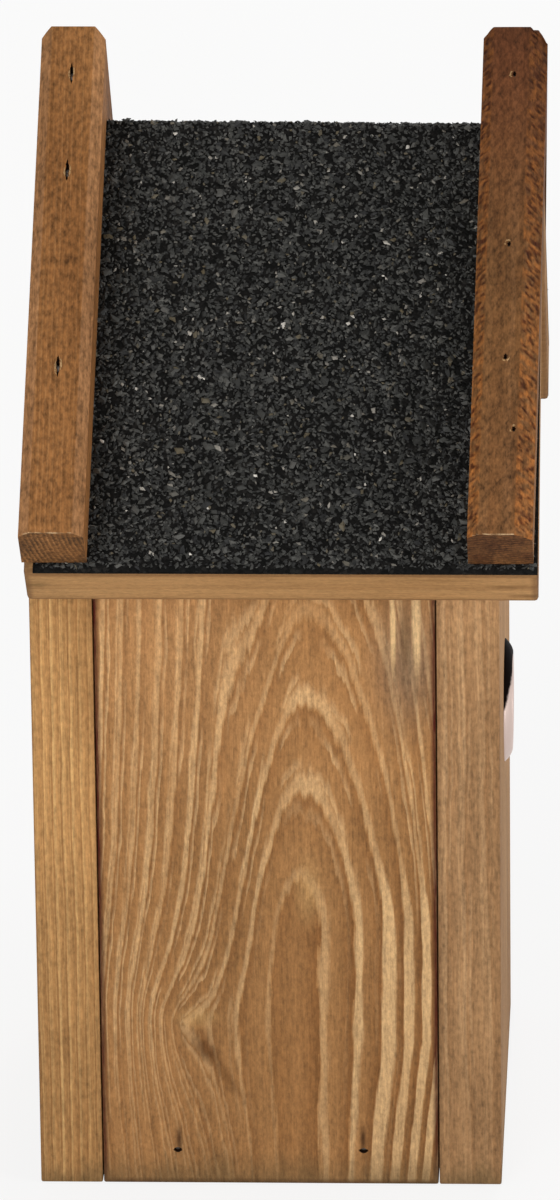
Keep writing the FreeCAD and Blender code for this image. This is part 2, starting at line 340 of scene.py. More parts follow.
    # end grain drinks more stain, most in the soft half of each year
    facing = add("Mapping", coords["Normal"], look["turn"], vector_type="VECTOR")
    facing = add("SeparateXYZ", facing)
    endOn = add("Math", facing.outputs["Z"], operation="ABSOLUTE")
    endOn = add("MapRange", endOn, 0.75, 0.95, 0, look["endDark"])
    least = add("MapRange", patchC, 0.4, 0.6, 1 - 0.3 * look["endYears"], 1 - look["endYears"])
    years = add("MapRange", phase, 0.25, 0.75, least, 1, **smooth)
    endOn = add("Math", endOn, years, operation="MULTIPLY")
    drunk = add("MapRange", patchB, 0.36, 0.62, 0.62, 1.12)
    endOn = add("Math", endOn, drunk, operation="MULTIPLY", use_clamp=True)
    layers.append((endOn, look["endColour"]))
    for spot in look["spots"]:        # soft places of another tone, such as a knot's cover, a water stain and a pool of painted light
        (spotX, spotZ), (wide, long) = spot["at"], spot["size"]
        turned = (0, math.radians(spot.get("lean", 0)), 0)
        place = add("Mapping", bent, (spotX, 0, spotZ), turned, (wide, 1e6, long), vector_type="TEXTURE")
        near = add("VectorMath", place, operation="LENGTH")
        near = add("MapRange", near, 1, 0, 0, spot["share"], **smooth)
        layers.append((near, spot["colour"]))
    for layer in ("edge", "mark", "rim"):        # from the mesh: arrises, darkened on the boards as painted shade of the joints between them and paler on the battens' chamfers; tool marks and rubbed rims
        if layer in look:
            worn = add("Attribute", attribute_name=layer)
            worn = add("Math", worn.outputs["Fac"], fibre, operation="MULTIPLY")
            worn = add("Math", worn, look[layer] / 2, operation="MULTIPLY", use_clamp=True)
            layers.append((worn, look[layer + "Colour"]))
    if "damp" in look:        # mouldy from splashes at the foot
        damp = add("Math", patch, 16, z, operation="MULTIPLY_ADD")
        damp = add("MapRange", damp, look["damp"] + 8, 7, 0, 0.62, **smooth)
        layers.append((damp, look["dampColour"]))
    body = add("MapRange", blot, 0.3, 0.65)
    colour = add("Mix", body, look["deep"], look["wood"], data_type="RGBA")
    for share, tint in layers:
        colour = add("Mix", share, colour, tint, data_type="RGBA")
    colour = add("VectorMath", colour, tone, operation="SCALE")

    rough = add("MapRange", fine, 0, 1, 0.82, 0.6)
    height = add("Math", fibre, 0.6, nap, operation="MULTIPLY_ADD")
    height = add("Math", pale, 0.5, height, operation="MULTIPLY_ADD")
    sockets = {"Base Color": colour, "Roughness": rough, "IOR": 1.5, "Specular IOR Level": 0.12}
    finishSurface(add, height, look["bump"], 0.35, sockets)
    return material


feltLook = dict(
    grit=1.0, soot=9.0, dust=0.5,        # mm
    sheet=[(0.0, "#090908"), (0.4, "#161514"), (1.0, "#32302d")],
    chips=[(0.0, "#1b1b1b"), (0.3, "#2c2c2a"), (0.75, "#40403d"), (0.94, "#575652"), (0.972, "#5b523f"),
           (0.988, "#726e67"), (0.997, "#a39d93"), (1.0, "#dcd6cc")],
)


def bitumen(look):
    # oxidised bitumen sheet between the granules: near black, dull, slightly lumpy
    material, add = newMaterial("oxidised bitumen sheet")
    place = add("TexCoord").outputs["Object"]
    grit = add("TexVoronoi", place, 1 / (look["grit"] * mm))
    soot = add("TexNoise", place, 1 / (look["soot"] * mm), 2)
    grey = add("SeparateColor", grit.outputs["Color"])
    shade = add("Math", grey, soot, operation="MULTIPLY")
    colour = add("ValToRGB", shade, stops=look["sheet"])
    sockets = {"Base Color": colour, "Roughness": 0.8, "IOR": 1.55, "Specular IOR Level": 0.06}
    finishSurface(add, grit, 0.8, 0.4, sockets, invert=True)
    return material


def slateGranule(look):
    # crushed slate coated for roofing: each chip has its own grey, some pale or rusty ones,
    # and faces that catch the light
    material, add = newMaterial("crushed slate granules")
    chip = add("NewGeometry").outputs["Random Per Island"]
    colour = add("ValToRGB", chip, stops=look["chips"])
    dust = add("TexNoise", add("TexCoord").outputs["Object"], 1 / (look["dust"] * mm), 2)
    rough = add("MapRange", dust, 0, 1, 0.32, 0.7)
    sockets = {"Base Color": colour, "Roughness": rough, "IOR": 1.55, "Specular IOR Level": 0.15}
    finishSurface(add, dust, 0.35, 0.15, sockets)
    return material


def metal(name, colour, worn, rough, speck):
    # speck is the size in mm of the stains on it
    material, add = newMaterial(name)
    stain = add("TexNoise", add("TexCoord").outputs["Object"], 1 / (speck * mm), 4, 0.6)
    share = add("MapRange", stain, 0.42, 0.68)
    tint = add("Mix", share, colour, worn, data_type="RGBA")
    gloss = add("MapRange", stain, 0, 1, rough - 0.1, rough + 0.15)
    finishSurface(add, stain, 0.2, 0.1, {"Base Color": tint, "Metallic": 1.0, "Roughness": gloss})
    return material


def blackPlateWornAndLitBelow(face, mouth, look):
    # black chromate plating on spun steel: almost black, pale bare metal on the lower half, most where the lip
    # stands out, which is claw wear and a painted highlight of the lit lower lip; face is the board's front and
    # mouth the middle height, in mm
    material, add = newMaterial("black plated spun steel, lip worn bright")
    place = add("TexCoord").outputs["Object"]
    axes = add("SeparateXYZ", place).outputs
    scuff = add("TexNoise", place, 1 / (look["scuff"] * mm), 4, 0.65)
    proud = add("MapRange", axes["X"], face * mm, (face + look["dome"]) * mm, 0, 9 * mm)
    drop = add("Math", axes["Z"], proud, operation="SUBTRACT")
    drop = add("MapRange", drop, (mouth + 8) * mm, (mouth - 4) * mm)
    # the pale lower half: claw wear and painted highlight
    worn = add("Math", scuff, 0.5, drop, operation="MULTIPLY_ADD")
    worn = add("MapRange", worn, 0.62, 0.8)
    colour = add("Mix", worn, look["plate"], look["bare"], data_type="RGBA")
    gloss = add("MapRange", scuff, 0, 1, 0.35, 0.6)
    sockets = {"Base Color": colour, "Metallic": worn, "Roughness": gloss, "Specular IOR Level": 0.01}
    finishSurface(add, scuff, 0.15, 0.1, sockets)
    return material


def nailPit(name, *tones, splinter=0.6):
    # wood torn or pushed up by a driven nail: rough splinters without gloss; the dark tones are iron stain and
    # painted shade inside the pits
    material, add = newMaterial(name)
    tear = add("TexNoise", add("TexCoord").outputs["Object"], 1 / (splinter * mm), 3)
    colour = add("ValToRGB", tear, stops=list(zip((0.3, 0.55, 0.8), tones)))
    sockets = {"Base Color": colour, "Roughness": 0.9, "IOR": 1.5, "Specular IOR Level": 0.1}
    finishSurface(add, tear, 0.6, 0.3, sockets)
    return material


# the nails are grey with brown rust specks, the zinc is a pale, cloudy grey
nailSteel = metal("bright drawn nail wire, dulled", "#7d7872", "#4d3627", 0.42, 1.4)
zincSteel = metal("zinc plated sheet steel", "#b4b6b6", "#8b8d8c", 0.36, 2.2)
# the walls of nail pits and screw holes: iron stain and painted shade
stainedAndShadedPitWood = nailPit("torn pine fibre in nail pits", "#140a06", "#2c190d", "#5a3b22")
rawFibre = nailPit("raw pine fibre pushed up by nails", "#7a5a38", "#b48f63", "#d2b287")
sheetBitumen = bitumen(feltLook)
slateChips = slateGranule(feltLook)
print("plain materials ready")


# Mesh helpers

def makePiece(name, bm, materials, body, slot, *nodes, smoothTo=35):
    mesh = bpy.data.meshes.new(name)
    bmesh.ops.recalc_face_normals(bm, faces=bm.faces)
    bm.to_mesh(mesh)
    bm.free()
    for material in materials:
        mesh.materials.append(material)
    mesh.shade_smooth()
    mesh.set_sharp_from_angle(angle=math.radians(smoothTo))
    piece = bpy.data.objects.new(name, mesh)
    scene.collection.objects.link(piece)
    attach(piece, body)
    if nodes:
        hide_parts(*nodes)
    return piece


def extrude(bm, face, step):
    grown = bmesh.ops.extrude_face_region(bm, geom=[face])["geom"]
    bmesh.ops.translate(bm, verts=[v for v in grown if isinstance(v, bmesh.types.BMVert)], vec=step)
    bmesh.ops.recalc_face_normals(bm, faces=bm.faces)
    bm.normal_update()


def skin(bm, rings):
    # faces between closed rings of equal length
    for a, b in zip(rings, rings[1:]):
        for k in range(len(a)):
            j = (k + 1) % len(a)
            bm.faces.new((a[k], a[j], b[j], b[k]))


def lathe(bm, profile, centre, axis, steps=28):
    # turns a profile of (radius, height) pairs round an axis; equal first and last points close it
    tilt = axis.to_track_quat("Z", "Y").to_matrix()
    rings = []
    for radius, height in profile:
        if radius < 1e-7:
            rings.append([bm.verts.new(centre + axis * height)])
            continue
        ring = []
        for k in range(steps):
            a = k * math.tau / steps
            spoke = Vector((radius * math.cos(a), radius * math.sin(a), height))
            ring.append(bm.verts.new(centre + tilt @ spoke))
        rings.append(ring)
    for a, b in zip(rings, rings[1:]):
        for k in range(steps):
            corners = [a[k % len(a)], a[(k + 1) % len(a)], b[(k + 1) % len(b)], b[k % len(b)]]
            unique = list(dict.fromkeys(corners))
            if len(unique) > 2:
                bm.faces.new(unique)
    bmesh.ops.remove_doubles(bm, verts=bm.verts, dist=1e-7)


def cutAway(piece, bm, material=None, smoothTo=30):
    # cuts a closed mesh out of a piece; the layers of marked places, wear and painted shade alike, stay as they
    # were, and are 0 on the cut
    kept = {}
    for layer in piece.data.attributes:
        if layer.domain == "POINT" and layer.data_type == "FLOAT":
            kept[layer.name] = {tuple(round(c, 6) for c in v.co): layer.data[v.index].value
                                for v in piece.data.vertices}
    mesh = bpy.data.meshes.new("cutter")
    bmesh.ops.recalc_face_normals(bm, faces=bm.faces)
    bm.to_mesh(mesh)
    bm.free()
    tool = bpy.data.objects.new("cutter", mesh)
    scene.collection.objects.link(tool)
    cut = piece.modifiers.new("cut", "BOOLEAN")
    cut.operation = "DIFFERENCE"
    cut.solver = "EXACT"
    cut.object = tool
    if material:
        mesh.materials.append(material)
        cut.material_mode = "TRANSFER"
    done = bpy.data.meshes.new_from_object(piece.evaluated_get(bpy.context.evaluated_depsgraph_get()))
    piece.modifiers.clear()
    old = piece.data
    piece.data = done
    done.set_sharp_from_angle(angle=math.radians(smoothTo))
    for name, values in kept.items():
        layer = done.attributes[name]
        for v in done.vertices:
            layer.data[v.index].value = values.get(tuple(round(c, 6) for c in v.co), 0.0)
    done.name = old.name
    bpy.data.meshes.remove(old)
    bpy.data.objects.remove(tool)
    bpy.data.meshes.remove(mesh)


# Nails: their places come from the CAD nodes

nailLook = dict(head=1.2, shank=0.78, thick=0.8, sink=1.3)        # mm; small heads, punched below the face
pivotNailLook = dict(head=3.1, shank=1.48, thick=0.8, sink=0.05)
wallPit = dict(length=1.7, splitWidth=3.3, depth=2.3, ragged=0.35)        # mm


def nailSpots(node):
    # head centre, driving direction and length of each nail in a CAD node
    bm = bmesh.new()
    bm.from_mesh(frame["nodes"][node].data)
    bmesh.ops.remove_doubles(bm, verts=bm.verts, dist=1e-6)
    left, spots = dict.fromkeys(bm.verts), []        # keeps the mesh's order, so that each run gives the same
    while left:
        queue, island = [left.popitem()[0]], []
        while queue:
            v = queue.pop()
            island.append(v.co.copy())
            for e in v.link_edges:
                other = e.other_vert(v)
                if other in left:
                    del left[other]
                    queue.append(other)
        middle = sum(island, Vector()) / len(island)
        far = max(island, key=lambda p: (p - middle).length)
        axis = (max(island, key=lambda p: (p - far).length) - far).normalized()
        for lap in range(3):        # the axis settles between the centres of both ends
            reach = [p.dot(axis) for p in island]
            ends = []
            for edge in (min(reach), max(reach)):
                near = [p for p, r in zip(island, reach) if abs(r - edge) < 0.4 * mm]
                centre = sum(near, Vector()) / len(near)
                ends.append((max((p - centre).length for p in near), centre))
            axis = (ends[1][1] - ends[0][1]).normalized()
        if ends[0][0] <= ends[1][0]:        # the wider end is the head
            ends.reverse()
        head, tip = ends[0][1], ends[1][1]
        spots.append((head, (tip - head).normalized(), (tip - head).length))
    bm.free()
    return sorted(spots, key=lambda s: tuple(s[0]))


def makeNails(name, node, look=nailLook):
    rim, shank, thick, sink = (look[k] * mm for k in ("head", "shank", "thick", "sink"))
    bm = bmesh.new()
    for head, axis, length in nailSpots(node):
        # a slightly domed head, the shank and a blunt point
        profile = [(0, sink), (rim * 0.55, sink + 0.02 * mm), (rim * 0.88, sink + 0.12 * mm),
                   (rim, sink + 0.3 * mm), (rim, sink + thick * 0.6), (shank * 1.15, sink + thick),
                   (shank, sink + thick * 1.4), (shank, length - 2.4 * mm), (shank * 0.55, length - 0.8 * mm),
                   (0, length)]
        lathe(bm, profile, head, axis, 14)
    return makePiece(name, bm, [nailSteel], "box", "nail_steel", node)


def addPit(bm, head, inward, fibre, look):
    # a lens-shaped split along the fibres, ragged at its sides
    side = inward.cross(fibre).normalized()
    luck = random.Random(round(head.x * 1e5) + round(head.z * 1e3))
    count = 12
    outline = []
    for face in (1, -1):        # down one side of the split and back up the other
        for k in range(count):
            t = face * (2 * k / count - 1)
            outline.append((t * look["length"] / 2, face * look["splitWidth"] / 2 * (1 - t * t) ** 0.8))
    outline = [(u, v * luck.uniform(1 - look["ragged"], 1)) for u, v in outline]
    loops = []
    for depth, shrink in ((-1.5, 1.0), (look["depth"] * 0.4, 0.9), (look["depth"], 0.45)):
        middle = head + inward * depth * mm
        loops.append([bm.verts.new(middle + (fibre * u + side * v) * shrink * mm) for u, v in outline])
    bm.faces.new(loops[0])
    bm.faces.new(loops[-1][::-1])
    for a, b in zip(loops, loops[1:]):
        for k in range(len(a)):
            j = (k + 1) % len(a)
            bm.faces.new((a[k], b[k], b[j], a[j]))


def cutPits(piece, spots, fibre, look):
    pits = bmesh.new()
    for head, axis, length in spots:
        addPit(pits, head, axis, fibre, look)
    cutAway(piece, pits, stainedAndShadedPitWood)


# Wall boards: house-shaped front and back, the two side panels, the floor

sideLow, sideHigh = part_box("fixed_side")
frontLow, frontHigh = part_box("front_board")
backLow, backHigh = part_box("back_board")
swingLow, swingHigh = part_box("swing_side")
floorLow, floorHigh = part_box("floor_board")
guardLow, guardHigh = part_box("hole_guard")
wallTop = frontHigh.z - frontHigh.y * math.tan(pitch)
boardThick = sideHigh.y - sideLow.y
holeCentre = Vector((frontHigh.x, 0, (guardLow.z + guardHigh.z) / 2))
up, forward, outward = Vector((0, 0, 1)), Vector((1, 0, 0)), Vector((0, 1, 0))

boardMake = dict(        # mm
    ease=0.55, wobble=0.18, step=11,        # arris, its unevenness and the length between its points
    border=1.3,         # inset beside the arris
    gap=0.3,            # at each side of the fixed panel
    entrance=14.0,      # radius
    clip=10.0,          # cut corners that drain the floor
)
pineLook = dict(
    turn=(0, 0, 0), seed=0.0,        # turn lays Z along the fibres
    pith=(0, -75), ringGap=(5.2, 5.2), phase=0.0,        # mm; gaps of the rings left and right of the pith
    wander=4.0, feather=0.2, archStart=90, arch=31, archRound=6, leftLean=1.0,
    leanSpan=(-30, -8), rightSpan=(-18, 2), taperSpan=(-45, -5), paleSpan=(-42, -16),        # mm from the pith
    crowdFrom=900, crowd=0.0, foot=(45, 8), footLean=0.0,
    lateWide=0.2, latePale=0.4, lateSpread=0.35, leftPale=1.0, faintSpan=(15, 62), faintLeast=0.5,
    broadFrom=900, broadSpan=12, outerSpan=(22, 28), broadTop=90, broadDrop=30, broadPale=0.55,
    between=0.45, betweenRight=1.0, heart=-20,
    fibre=0.66, nap=1.0, napSize=0.9, blot=0.35, bump=0.45,
    wood="#a7794b", deep="#946a40", late="#cda676", line=0.4, lineColour="#764a24",
    # edge and edgeColour darken the boards' arrises: painted shade along the joints
    endDark=0.75, endYears=0.3, endColour="#7d5732", edge=0.9, edgeColour="#52301c",
    # lightRamp: painted light, the boards darker at the foot and paler towards the top
    lightRamp=(0.85, 1.17), lightRampFrom=(0, 200), dampColour="#6a5638", spots=(),
)
fixedSideLook = dict(
    pineLook, seed=1.3, pith=(10.1, -75), ringGap=(5.15, 7.45), phase=-0.256, wander=3.0, feather=0.26,
    archStart=86, arch=69, pithLean=0.17, leftLean=0.32, crowdFrom=22, crowd=0.0035, footLean=0.00095,
    lateWide=0.24, latePale=0.33, lateSpread=0.32, leftPale=1.2, broadFrom=-4, broadTop=108, broadPale=0.3,
    # edge and edgeColour: darker, redder arrises along the gaps beside the front and back boards, painted shade
    # of the joints
    between=0.55, betweenRight=0.2, heart=9, edge=1.7, edgeColour="#43150a", damp=12,
    knot=dict(at=(-25.5, 50), push=20, wide=18, above=22, below=45),
    spots=(dict(at=(-19, 42), size=(4.5, 9.5), lean=-40, share=0.78, colour="#5a3719"),        # under the knot
           dict(at=(-12.5, 33), size=(3, 13), lean=-32, share=0.6, colour="#633f1d"),
           dict(at=(11.5, 91), size=(5.5, 15), share=0.5, colour="#c79d66"),
           dict(at=(9, 181), size=(15, 20), share=0.55, colour="#a97c4d"),
           dict(at=(-21, 52), size=(9, 5), share=0.5, colour="#c39a63"),        # on the knot
           dict(at=(41, 162), size=(16, 32), share=0.8, colour="#78604a"),        # grey under the eave
           # a broad pale pool at the upper left: painted light
           dict(at=(-26, 165), size=(42, 70), share=0.14, colour="#d4a473"),
           dict(at=(4, 26), size=(20, 40), share=0.12, colour="#70481f"),
           dict(at=(40.4, 169), size=(2.2, 17), share=0.7, colour="#6b5034"),
           dict(at=(43.6, 174), size=(1.8, 22), share=1.6, colour="#c9a779"),        # pale streaks there
           dict(at=(37.0, 173), size=(1.2, 19), share=1.4, colour="#cba878")),
)
ironStain = dict(size=(1.5, 7), share=0.95, colour="#4a2e17")        # at each nail in the fixed panel
stainRise = 3.5        # mm above the nail
swingSideLook = dict(
    pineLook, seed=4.1, pith=(-14, 80), ringGap=(4.6, 5.6), archStart=40, arch=34, leftLean=0.6, damp=6,
)
frontLook = dict(
    pineLook, seed=7.7, pith=(104, 9), ringGap=(2.8, 2.8), archStart=900, wander=5.0,
    lateWide=0.25, latePale=0.2, lateSpread=0.35, line=0.2, between=0.3, fibre=0.78, nap=1.15, napSize=1.1,
    wood="#a67f57", deep="#946f4b", late="#c19c72", edge=0.3, lightRamp=(0.88, 1.1), damp=8,
)
backLook = dict(
    frontLook, seed=9.2, pith=(-150, -20), ringGap=(2.4, 2.4), wander=4.0,
    latePale=0.25, lateSpread=0.4, line=0.4, fibre=0.75, nap=1.0,
    wood="#b08351", deep="#9c7245", late="#caa26b",
)
alongX = (0, math.radians(-90), 0)        # turn of boards whose fibres run from back to front
floorBoardLook = dict(
    pineLook, seed=12.5, turn=alongX, pith=(30, 10), archStart=900, lightRampFrom=(-1000, -999), lightRamp=(1, 1),
)
ease, wobble, border, gap, clip = (boardMake[k] * mm for k in ("ease", "wobble", "border", "gap", "clip"))


def easedBoard(outline, along, low, high, arris, seed):
    # a board with eased arrises, uneven from the plane; outline goes round the two axes other than along
    luck = random.Random(seed)
    ring = []
    for here, there in zip(outline, outline[1:] + outline[:1]):
        here, there = Vector(here), Vector(there)
        run = there - here
        steps = max(1, round(run.length / (boardMake["step"] * mm)))
        side = Vector((run.y, -run.x)).normalized()
        for k in range(steps):
            drift = luck.uniform(-1, 0) * wobble if k else 0
            ring.append(here + run * (k / steps) + side * drift)
    if sum(a.x * b.y - b.x * a.y for a, b in zip(ring, ring[1:] + ring[:1])) < 0:
        ring.reverse()
    bm = bmesh.new()
    corners = []
    for p in ring:
        point = list(p)
        point.insert(along, low)
        corners.append(bm.verts.new(point))
    step = Vector((0, 0, 0))
    step[along] = high - low
    extrude(bm, bm.faces.new(corners), step)
    sharpEdges = [e for e in bm.edges if len(e.link_faces) == 2 and e.calc_face_angle(0) > 0.5]
    bevelled = bmesh.ops.bevel(bm, geom=sharpEdges, offset=arris, segments=2, profile=0.5, affect="EDGES")
    rounded = set(bevelled["faces"])
    flats = [f for f in bm.faces if f not in rounded]
    bmesh.ops.inset_region(bm, faces=flats, thickness=border, use_even_offset=True, use_boundary=True)
    # the arris faces, which the shader darkens on the boards as painted shade of the joints
    layer = bm.verts.layers.float.new("edge")
    for v in bm.verts:
        v[layer] = 1.0 if any(f in rounded for f in v.link_faces) else 0.0
    return bm


def makeBoard(name, node, bm, wood, look, *others, body="box"):
    pine = stainedPine("stained pine, " + wood, look)
    return makePiece(name, bm, [pine, *others], body, "stained_pine", node)


wallNails = nailSpots("side_nails") + nailSpots("floor_nails") + nailSpots("pivot_nails")
fixedSideLook["spots"] += tuple(dict(ironStain, at=(head.x / mm, head.z / mm + stainRise))
                                for head, axis, length in nailSpots("floor_nails") if axis.y > 0.9)

house = [(backLow.y, 0), (backHigh.y, 0), (backHigh.y, wallTop), (0, backHigh.z), (backLow.y, wallTop)]
bm = easedBoard(house, 0, backLow.x, backHigh.x, ease, 1)
backPiece = makeBoard("backBoard", "back_board", bm, "back board", backLook, stainedAndShadedPitWood)
bm = bmesh.new()
fixings = next(m for m in frame["record"]["mounts"] if m["name"] == "wall_screws")
r = fixings["dims"]["hole_r_mm"] * mm
drill = [(0, -25 * mm), (r, -25 * mm), (r, -0.6 * mm), (r * 1.3, 0), (r * 1.4, 1 * mm), (0, 1 * mm)]
for side in (-1, 1):        # drilled through, with a splintered mouth
    centre = Vector(fixings["pos_m"]) + up * side * fixings["dims"]["spacing_y_mm"] / 2 * mm
    lathe(bm, drill, centre, -forward)
# the hole walls take the dark pit wood: painted shade inside the holes
cutAway(backPiece, bm, stainedAndShadedPitWood)
cutPits(backPiece, [s for s in wallNails if s[1].x > 0.9], up, wallPit)

bm = easedBoard(house, 0, frontLow.x, frontHigh.x, ease, 2)
frontPiece = makeBoard("frontBoard", "front_board", bm, "front board", frontLook, stainedAndShadedPitWood)
bm = bmesh.new()
r = boardMake["entrance"] * mm
lathe(bm, [(0, -30 * mm), (r, -30 * mm), (r, 3 * mm), (0, 3 * mm)], holeCentre, forward, 64)
cutAway(frontPiece, bm)
cutPits(frontPiece, [s for s in wallNails if s[1].x < -0.9], up, wallPit)

slant = [(sideLow.y, 0), (sideHigh.y, 0), (sideHigh.y, sideHigh.z),
         (sideLow.y, sideHigh.z - boardThick * math.tan(pitch))]
bm = easedBoard(slant, 0, sideLow.x + gap, sideHigh.x - gap, ease, 3)
sidePiece = makeBoard("fixedSide", "fixed_side", bm, "fixed side", fixedSideLook, stainedAndShadedPitWood)
cutPits(sidePiece, [s for s in wallNails if s[1].y > 0.9], up, wallPit)

panel = [(swingLow.x, swingLow.z), (swingHigh.x, swingLow.z),
         (swingHigh.x, swingHigh.z), (swingLow.x, swingHigh.z)]
bm = easedBoard(panel, 1, swingLow.y, swingHigh.y, ease, 4)
makeBoard("swingSide", "swing_side", bm, "swing-out side", swingSideLook, body="panel")

lowX, highX, lowY, highY = floorLow.x, floorHigh.x, floorLow.y, floorHigh.y
plate = [(lowX + clip, lowY), (highX - clip, lowY), (highX, lowY + clip), (highX, highY - clip),
         (highX - clip, highY), (lowX + clip, highY), (lowX, highY - clip), (lowX, lowY + clip)]
bm = easedBoard(plate, 2, floorLow.z, floorHigh.z, ease, 5)
makeBoard("floorBoard", "floor_board", bm, "floor", floorBoardLook)
print("walls and floor made")


# Roof boards

roofMake = dict(ease=1.1)        # mm
roofLook = dict(
    pineLook, seed=15.4, turn=alongX, pith=(-270, 60), ringGap=(2.7, 2.7), archStart=900, wander=2.5,
    lateWide=0.3, latePale=0.1, lateSpread=0.15, line=0.15, between=0.15, fibre=0.45, nap=0.6,
    # lightRamp: painted shade, darker at the end nearer the key lamp to even out its light
    wood="#bf9362", deep="#b38757", late="#cba36d", lightRampFrom=(-66, 78), lightRamp=(0.88, 0.98),
)
# darker growth at both ends of the near eave, at (minus the height, x)
eaveSpots = (dict(at=(-194.6, 71), size=(1.3, 13), share=0.6, colour="#6e4b26"),
             dict(at=(-190.3, 75), size=(1.3, 8), share=0.6, colour="#6a4824"),
             dict(at=(-197.5, 52), size=(1.2, 14), share=0.3, colour="#7d5830"),
             dict(at=(-195, -63), size=(2.4, 6), share=0.5, colour="#6b5430"))
roofLow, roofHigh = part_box("roof_near")
ridge = roofHigh.z
eaveReach = -roofLow.y
eaveTop = ridge - eaveReach * math.tan(pitch)
roofThick = (eaveTop - roofLow.z) / math.cos(pitch)
slopeLength = eaveReach / math.cos(pitch)
for name, node, wood, side, seed, spots in (("roofNear", "roof_near", "roof board near", -1, 6, eaveSpots),
                                            ("roofFar", "roof_far", "roof board far", 1, 7, ())):
    section = [(0, ridge), (side * eaveReach, eaveTop),
               (side * (eaveReach - roofThick * math.sin(pitch)), roofLow.z),
               (0, ridge - roofThick / math.cos(pitch))]
    bm = easedBoard(section, 0, roofLow.x, roofHigh.x, roofMake["ease"] * mm, seed)
    pith = (roofLook["pith"][0], roofLook["pith"][1] * side)
    makeBoard(name, node, bm, wood, dict(roofLook, seed=roofLook["seed"] + side, pith=pith, spots=spots))
print("roof boards made")


# Felt: a bitumen sheet folded over the ridge, with granules pressed in

feltMake = dict(        # mm
    step=1.0, under=1.95,          # mesh, and depth of the underside
    fold=(0.3, 1.4),               # roundness at the back and front ends
    short=2.6,                     # stops short of the boards' back ends
    lump=(26, 0.15), grit=(1.3, 0.18), sunk=0.3,        # size and height of the unevenness
    rimDrop=0.5, knife=0.25,       # pressed edges, cut not quite straight
    granules=24500, size=(0.45, 1.02),        # on each slope
    larger=((1, 1.5, 2.1), (85, 12, 3)),        # times the size, and the odds of each
    seed=21,
)
# a flat chip: four corners on the sheet and a sloping edge on top
chipCorners = ((1, 0.1, 0), (0.2, 1, 0.1), (-1, -0.1, 0), (-0.1, -1, 0), (0.3, 0.25, 1), (-0.45, -0.2, 0.9))
chipFaces = ((0, 1, 4), (1, 5, 4), (1, 2, 5), (2, 3, 5), (3, 4, 5), (3, 0, 4), (1, 0, 3), (2, 1, 3))
feltLow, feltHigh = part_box("roof_felt")
feltBack = feltLow.x + feltMake["short"] * mm
feltReach = feltHigh.y / math.cos(pitch)


def feltPoint(x, s, lift=0.0):
    # s runs down the slopes from the ridge, negative on the near side
    back, front = feltMake["fold"]
    fold = (back + (front - back) * (x - feltLow.x) / (feltHigh.x - feltLow.x)) * mm
    y = s * math.cos(pitch)
    bend = math.sqrt(y * y + fold * fold)
    normal = Vector((0, y / bend, 1)).normalized()
    return Vector((x, y, feltHigh.z - bend)) + normal * lift, normal


def feltHeight(x, s):
    p = Vector((x, s, 0)) / mm
    waves = sum(noise.noise(p / size) * tall for size, tall in (feltMake["lump"], feltMake["grit"]))
    return (waves - feltMake["sunk"]) * mm


def makeFelt():
    step, rimDrop = feltMake["step"] * mm, feltMake["rimDrop"] * mm
    columns = round((feltHigh.x - feltBack) / step)
    rows = round(2 * feltReach / step)
    bm = bmesh.new()
    luck = random.Random(feltMake["seed"])
    grid, under = [], []
    for j in range(rows + 1):
        s = -feltReach + 2 * feltReach * j / rows
        line = []
        for i in range(columns + 1):
            x = feltBack + (feltHigh.x - feltBack) * i / columns
            rim = i in (0, columns) or j in (0, rows)
            point, normal = feltPoint(x, s, feltHeight(x, s) - (rimDrop if rim else 0))
            if j in (0, rows):
                point += Vector((0, -1 if j else 1, 0)) * luck.uniform(0, feltMake["knife"]) * mm
            line.append(bm.verts.new(point))
        grid.append(line)
        flat = Vector((0, s * math.cos(pitch), feltHigh.z - abs(s) * math.sin(pitch)))
        flat -= Vector((0, math.copysign(math.sin(pitch), s), math.cos(pitch))) * feltMake["under"] * mm
        if abs(s) < 2 * mm:
            flat = Vector((0, 0, ridge + 0.02 * mm))
        # one pair of points under the whole fold
        if under and (under[-1][0].co.yz - flat.yz).length < 1e-6:
            under.append(under[-1])
        else:
            under.append([bm.verts.new(flat + Vector((line[i].co.x, 0, 0))) for i in (0, columns)])
    for a, b in zip(grid, grid[1:]):
        for i in range(columns):
            bm.faces.new((a[i], a[i + 1], b[i + 1], b[i]))
    for j in range(rows):
        sides = [(grid[j][0], grid[j + 1][0], under[j + 1][0], under[j][0]),
                 (grid[j + 1][columns], grid[j][columns], under[j][1], under[j + 1][1])]
        if under[j] is not under[j + 1]:
            sides.append((under[j][0], under[j + 1][0], under[j + 1][1], under[j][1]))
        for corners in sides:
            bm.faces.new(list(dict.fromkeys(corners)))
    bm.faces.new(list(reversed(grid[0])) + under[0])
    bm.faces.new(grid[rows] + list(reversed(under[rows])))
    return makePiece("roofFelt", bm, [sheetBitumen], "box", "granulated_felt", "roof_felt", smoothTo=50)


